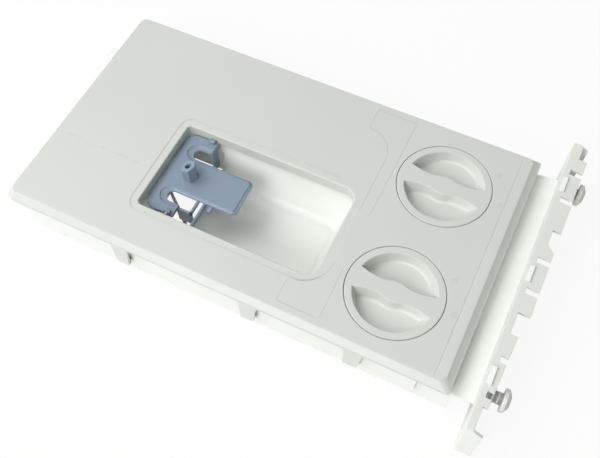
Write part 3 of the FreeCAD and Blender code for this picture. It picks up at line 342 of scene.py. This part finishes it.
def bend(centre, radii, start, end):
    """Points centre + radii * (cos a, sin a) for angles a from start to end, in degrees."""
    angle = np.radians(np.linspace(start, end, 24))
    return np.column_stack([centre[0] + radii[0] * np.cos(angle), centre[1] + radii[1] * np.sin(angle)])


def painted_groove_lines(name, paths, width, material):
    """Flat ribbons on the cover, in a material that paints a groove's shade: path point p(s) plus and minus
    half the width along its left normal.
    """
    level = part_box("top_cover")[1][2] + 0.00002
    rows = []
    quads = []
    count = 0
    for path in paths:
        way = np.gradient(path, axis=0)
        way /= np.linalg.norm(way, axis=1, keepdims=True)
        aside = np.column_stack([-way[:, 1], way[:, 0]]) * width / 2
        grid = np.stack([path - aside, path + aside], axis=1).reshape(-1, 2) / 1000
        rows.append(np.column_stack([grid, np.full(len(grid), level)]))
        start = count + 2 * np.arange(len(path) - 1)
        quads.append(np.column_stack([start, start + 2, start + 3, start + 1]))
        count += 2 * len(path)
    mesh = bpy.data.meshes.new(name)
    mesh.from_pydata(np.concatenate(rows).tolist(), [], np.concatenate(quads).tolist())
    fitted(mesh, material, "drawer")


# The cover's grey, somewhat deeper and duller: the painted shade of a groove.
painted_groove_shade = moulded_plastic("light_grey_abs_groove_shade_painted", "#C4C8C1", "#BDC1BA", 0.5, 0.5, 0.02, 1.53)
far_field = np.concatenate([
    straight((66.4, -0.7), (66.4, 45.0)), bend((46.5, 46.0), (19.9, 22.5), 0, 90),
    bend((46.5, 70.5), (2, 2), 270, 180), straight((44.5, 71.0), (44.2, 84.5)),
    bend((46.2, 85.0), (2, 2), 180, 90), straight((46.7, 87.0), (72.6, 87.0)),
    bend((73.1, 85.0), (2, 2), 90, 0), straight((75.1, 84.5), (74.6, -0.4))])
near_field = np.concatenate([
    bend((46.4, -44.8), (21, 21.7), 0, -90), bend((46.4, -68.5), (2, 2), 90, 180),
    straight((44.4, -69.0), (44.3, -83.0)), bend((46.3, -83.5), (2, 2), 180, 270),
    straight((46.8, -85.5), (72.9, -85.5)), bend((73.4, -83.5), (2, 2), 270, 360),
    straight((75.4, -83.0), (74.8, -46.0))])
painted_groove_lines("filler_field_outlines", [far_field, near_field], 0.45, painted_groove_shade)
cap_x, detergent_cap_y, softener_cap_y = 112.5, 44.7, -46.5
mark_reach, locked, unlocked = 40.8, math.radians(2), math.radians(37)
turn_marks = []
for cap_y in (detergent_cap_y, softener_cap_y):
    # A small padlock at each end of the turn: a box, and a bow that sits aside on the open one.
    for angle, aside in ((locked, 0), (unlocked, 0.9)):
        mark_x = cap_x + mark_reach * math.cos(angle)
        mark_y = cap_y + mark_reach * math.sin(angle)
        turn_marks.append(np.array([(-1.5, -1.6), (1.5, -1.6), (1.5, 0.4), (-1.5, 0.4), (-1.5, -1.6)])
                          + (mark_x, mark_y))
        turn_marks.append(bend((mark_x + aside, mark_y + 0.6), (0.95, 1.2), 0, 180))
painted_groove_lines("cap_turn_marks", turn_marks, 0.35, painted_groove_shade)

# The two filler caps: bayonet plugs with two finger hollows and a grip bar between them.
# The same grey ABS as the cover, injection moulded; they lock in its filler necks.
cap_top, hollow_reach, hollow_depth, hollow_lean, hollow_middle = 44.0, 29.0, 10.5, 0.17, 18.0
for tank, cap_y in (("detergent", detergent_cap_y), ("softener", softener_cap_y)):
    cap, points = merged_copy(f"{tank}_cap")
    points -= (cap_x, cap_y, cap_top)
    within = np.hypot(points[:, 0], points[:, 1]) < hollow_reach
    sunk = within & (points[:, 2] > -11.0) & (points[:, 2] < -0.1)
    # The hollows' walls lean: the deeper a point lies, the more it is drawn to the middle of its hollow.
    lean = np.where(sunk, points[:, 2] / -hollow_depth, 0.0) * hollow_lean
    points[:, 0] *= 1 - lean
    # The floor of each hollow rises to the front.
    points[:, 2] *= np.where(sunk, np.interp(points[:, 0], (-25, 25), (1.0, 0.5)), 1.0)
    points[:, 1] += lean * (hollow_middle * np.sign(points[:, 1]) - points[:, 1])
    points += (cap_x, cap_y, cap_top)
    rounded_moulding(f"{tank}_cap", cap, points, f"{tank}_cap", cover_plastic, 0.0006)


# The flap in the powder bay: a lever with a tongue, a leg, cross bars and a hollow six-sided post.
# Blue-grey ABS, injection moulded in one piece and snapped over the cover's two pins.
def block(low, high, chamfer=0.25):
    """A swept rectangle between two opposite corners, with small chamfers above and below."""
    outline = np.array([(low[0], low[1]), (high[0], low[1]), (high[0], high[1]), (low[0], high[1])])
    return swept(outline, (chamfer, 0, 0, chamfer), (low[2], low[2] + chamfer, high[2] - chamfer, high[2]))


# Satin, with the grain a little coarser than the cover's.
flap_plastic = moulded_plastic("blue_grey_abs_moulded", "#8B9BAE", "#8393A5", 0.34, 0.6, 0.02, 1.53)
rear, front, tip, window_rear = -77.3, -53.4, -13.6, -66.2
middle, half, arm, tongue = -21.5, 34.7, 24.1, 15.2
window_radius = 4.45
window_centre = (window_rear + window_radius, middle - (arm + tongue) / 2)
# The near half of the outline, with the width of the sunk border at both ends of each stretch.
near = [
    (bend((rear + 8, middle - half + 8), (8, 8), 180, 270), 0, 0),
    (straight((rear + 9, middle - half), (front - 2, middle - half)), 0, 0),
    (bend((front - 1, middle - half + 1), (1, 1), 270, 360), 0, 0),
    (bend((front - 1, middle - arm - 1), (1, 1), 0, 90), 0, 3.0),
    (straight((front - 2, middle - arm), (window_rear + 5, middle - arm)), 3.0, 3.0),
    (bend(window_centre, (window_radius, window_radius), 270, 180), 3.0, 5.0),
    (bend(window_centre, (window_radius, window_radius), 176, 90), 5.0, 1.6),
    (straight((window_rear + 5, middle - tongue), (tip - 5, middle - tongue)), 1.6, 1.6),
    (bend((tip - 4, middle - tongue + 4), (4, 4), 270, 358), 1.6, 1.6)]
outline = np.concatenate([path for path, begin, stop in near])
border = np.concatenate([np.linspace(begin, stop, len(path)) for path, begin, stop in near])
outline = np.concatenate([outline, (outline * (1, -1) + (0, 2 * middle))[::-1]])
border = np.concatenate([border, border[::-1]])
# The plate with its sunk border round both windows and along the tongue.
plate_low, under_plate = 33.0, 33.4
surfaces = [swept(outline, (0.3, 0, 0, 0.1, border + 0.1, border + 0.4, border + 0.6),
                  (plate_low, 33.3, 34.8, 35.0, 35.0, 35.8, 36.0))]
# Below it: the rear lip, a leg, a side wall, two cross bars and a stop, all let into the plate.
web, tongue_side = 1.8, middle - tongue
surfaces += [block((rear, middle - half + 8, 28.5), (rear + 1.6, middle + half - 8, under_plate)),
             block((front - web, middle + arm, 12.0), (front, middle + half - 3.2, under_plate)),
             block((front - web, middle - arm - 2.7, 18.0), (front + 10.4, middle - arm - 0.9, under_plate)),
             block((front + 8.6, middle - arm - 2.7, 30.5), (front + 10.4, tongue_side + web, under_plate)),
             block((front + 13.9, middle - half, 28.7), (front + 15.7, tongue_side + web, under_plate)),
             block((front + 18.6, tongue_side - 4.5, 30.5), (front + 21.9, tongue_side + web, under_plate))]
# Clip blocks over the two pins.
clip_width, clip_top = 3.2, 38.3
surfaces += [block((pin_x - 2.4, side, under_plate), (pin_x + 2.4, side + clip_width, clip_top), 0.4)
             for side in (middle - half, middle + half - clip_width)]
# The six-sided hollow post with a slanted top.
post_radius, post_top, post_slant = 6.0, 51.0, 0.5
corners = np.radians(np.arange(6) * 60)
post = np.column_stack([pin_x + post_radius * np.cos(corners), middle + post_radius * np.sin(corners)])
points, faces = swept(post, (0, 0, 0.3, 2.9, 3.1), (35.5, post_top - 0.3, post_top, post_top, 41.0))
points[:, 2] += np.where(points[:, 2] > 45, post_slant * (points[:, 0] + 55.0), 0)
surfaces.append((points, faces))
flap, points = joined("release_flap_moulding", surfaces)
rounded_moulding("release_flap", flap, points, "release_flap", flap_plastic, 0.0002)

# The two mushroom studs that the front panel snaps onto.
# White acetal mouldings pressed through the carrier.
stud_height, stem_radius, solid_head, drawn_head, peg_end = 34.0, 5.3, 7.0, 8.0, 184.9
for side, solid_y, drawn_y in (("far", 82.0, 84.2), ("near", -82.0, -81.6)):
    stud, points = merged_copy(f"fascia_stud_{side}")
    points -= (0, solid_y, stud_height)
    # The heads are a little wider than the stem's rings.
    wide = np.hypot(points[:, 1], points[:, 2]) > stem_radius
    points[wide, 1:] *= drawn_head / solid_head
    points += (0, drawn_y, stud_height)
    points[:, 0] = np.maximum(points[:, 0], peg_end)
    rounded_moulding(f"fascia_stud_{side}", stud, points, "drawer", acetal, 0.0003)


# The table: a plain white sheet that keeps a soft shadow.
# Matte paper, laid flat just below the drawer; sizes from here on are in metres.
def seen_directly(tree):
    """1 for rays from the camera, from a gloss or through a clear piece, otherwise 0."""
    rays = add_node(tree, "ShaderNodeLightPath")
    straight_on = add_node(tree, "ShaderNodeMath", {"operation": "MAXIMUM"},
                           {0: rays.outputs["Is Camera Ray"], 1: rays.outputs["Is Glossy Ray"]})
    either = add_node(tree, "ShaderNodeMath", {"operation": "MAXIMUM"},
                      {0: straight_on.outputs["Value"], 1: rays.outputs["Is Transmission Ray"]})
    return either.outputs["Value"]


floor_mesh = bpy.data.meshes.new("floor")
floor_half, floor_level = 4.0, -0.0003
floor_mesh.from_pydata([(-floor_half, -floor_half, floor_level), (floor_half, -floor_half, floor_level),
                        (floor_half, floor_half, floor_level), (-floor_half, floor_half, floor_level)],
                       [], [(0, 1, 2, 3)])
floor = bpy.data.objects.new("floor", floor_mesh)
scene.collection.objects.link(floor)
# White without gloss; seen directly it mostly glows, so that it stays white and keeps a faint shadow.
paper = bpy.data.materials.new("white_paper_matte")
paper.use_nodes = True
tree = paper.node_tree
tree.nodes.clear()
matte = add_node(tree, "ShaderNodeBsdfDiffuse", {"Color": linear("#F4F4F2")})
glow = add_node(tree, "ShaderNodeEmission", {"Color": (1, 1, 1, 1), "Strength": 1.0})
share = add_node(tree, "ShaderNodeMath", {"operation": "MULTIPLY", 1: 0.9}, {0: seen_directly(tree)})
blend = add_node(tree, "ShaderNodeMixShader", None,
                 {0: share.outputs["Value"], 1: matte.outputs["BSDF"], 2: glow.outputs["Emission"]})
add_node(tree, "ShaderNodeOutputMaterial", None, {"Surface": blend.outputs["Shader"]})
floor_mesh.materials.append(paper)

# The light: a soft box high at the left, another at the near side, and a pale room that is
# brighter to the left.
world = bpy.data.worlds.new("pale_room")
scene.world = world
world.use_nodes = True
tree = world.node_tree
tree.nodes.clear()
place = add_node(tree, "ShaderNodeTexCoord")
axes = add_node(tree, "ShaderNodeSeparateXYZ", None, {0: place.outputs["Generated"]})
fading = add_node(tree, "ShaderNodeMapRange",
                  {"From Min": -1.0, "From Max": 1.0, "To Min": 0.90, "To Max": 0.06},
                  {"Value": axes.outputs["X"]})
room = add_node(tree, "ShaderNodeBackground", {"Color": (1, 1, 1, 1)}, {"Strength": fading.outputs["Result"]})
white = add_node(tree, "ShaderNodeBackground", {"Color": (1, 1, 1, 1), "Strength": 1.0})
blend = add_node(tree, "ShaderNodeMixShader", None,
                 {0: seen_directly(tree), 1: room.outputs["Background"], 2: white.outputs["Background"]})
add_node(tree, "ShaderNodeOutputWorld", None, {"Surface": blend.outputs["Shader"]})


def soft_box(name, place, size, watts):
    """A square area lamp that faces the drawer."""
    lamp = bpy.data.lights.new(name, "AREA")
    lamp.shape = "SQUARE"
    lamp.size = size
    lamp.energy = watts
    item = bpy.data.objects.new(name, lamp)
    item.location = place
    item.rotation_euler = (Vector((0, 0, 0.03)) - Vector(place)).to_track_quat("-Z", "Y").to_euler()
    scene.collection.objects.link(item)


soft_box("key_box", (-0.75, -0.2, 1.25), 0.7, 6.6)
soft_box("near_fill", (-0.2, -1.17, 0.92), 0.8, 9.4)

# The camera at the photograph's angle.
forward = Vector((-0.22602, 0.43112, -0.87353)).normalized()
flat = forward.cross(Vector((0, 0, 1))).normalized()
up_flat = flat.cross(forward)
roll = math.radians(-2.034)
right = math.cos(roll) * flat + math.sin(roll) * up_flat
up = -math.sin(roll) * flat + math.cos(roll) * up_flat
lens = bpy.data.cameras.new("camera")
lens.sensor_fit = "HORIZONTAL"
lens.sensor_width = 36.0
lens.lens = 45.681
lens.clip_start = 0.01
camera = bpy.data.objects.new("camera", lens)
camera.matrix_world = Matrix.Translation((0.15401, -0.25693, 0.50202)) @ Matrix(
    (right, up, -forward)).transposed().to_4x4()
scene.collection.objects.link(camera)
scene.camera = camera
scene.view_settings.view_transform = "Standard"
